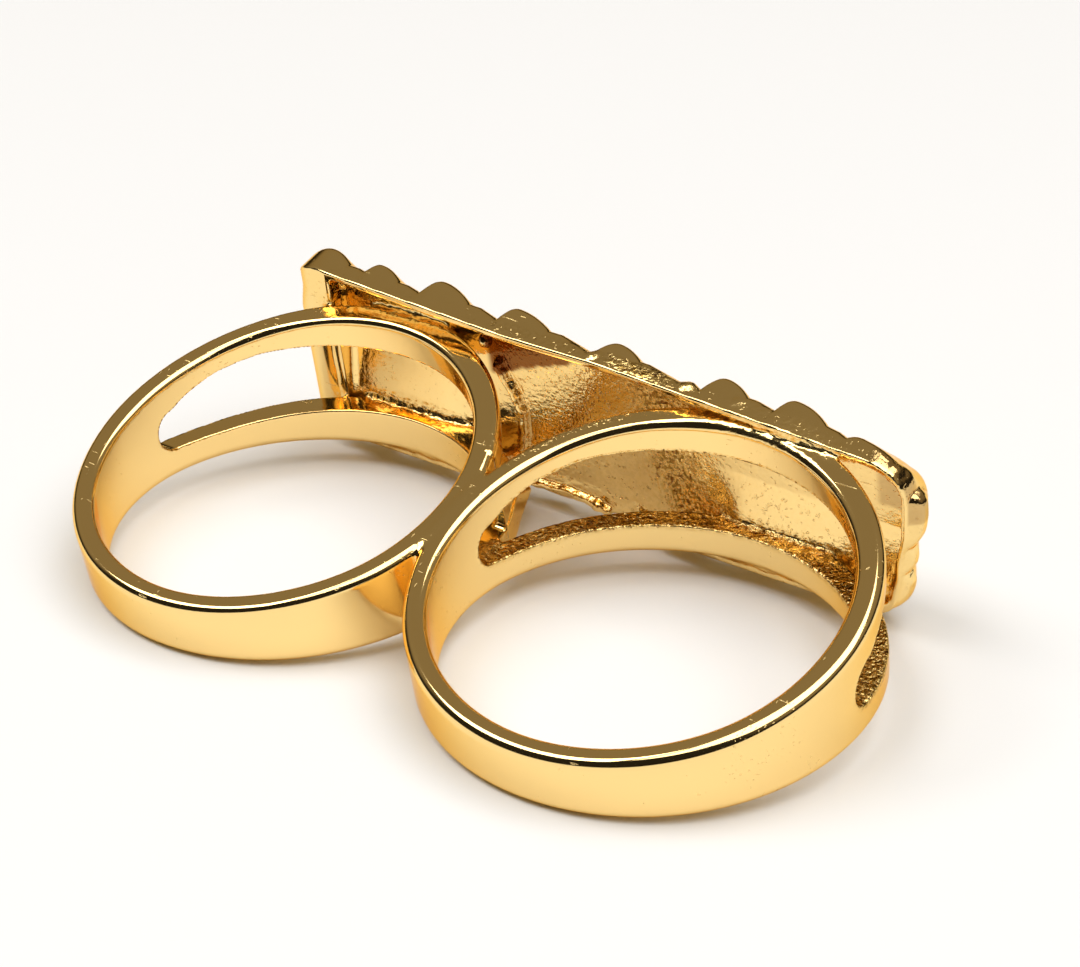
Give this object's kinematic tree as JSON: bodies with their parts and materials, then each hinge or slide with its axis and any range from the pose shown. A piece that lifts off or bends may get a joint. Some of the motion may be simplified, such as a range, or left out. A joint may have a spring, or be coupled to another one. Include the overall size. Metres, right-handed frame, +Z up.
{
  "type": "gold-plated brass two finger ring",
  "caption": "Two finger ring: side-by-side bands that split into arms and carry a long hollow-backed plate with slanted cast lobes.",
  "frame": {"origin": "middle of the bounding box in plan, on the floor that the ring lies on", "axes": "+X along the front plate, across both fingers; +Y from the palm side to the front plate; +Z up from the floor"},
  "size_m": [0.0402, 0.0228, 0.0118],
  "materials": {
    "gold": "polished gold plate over cast brass, worn, with granular solder at the joins"
  },
  "bodies": {
    "root": {"two_finger_ring": "gold"}
  },
  "joints": []
}
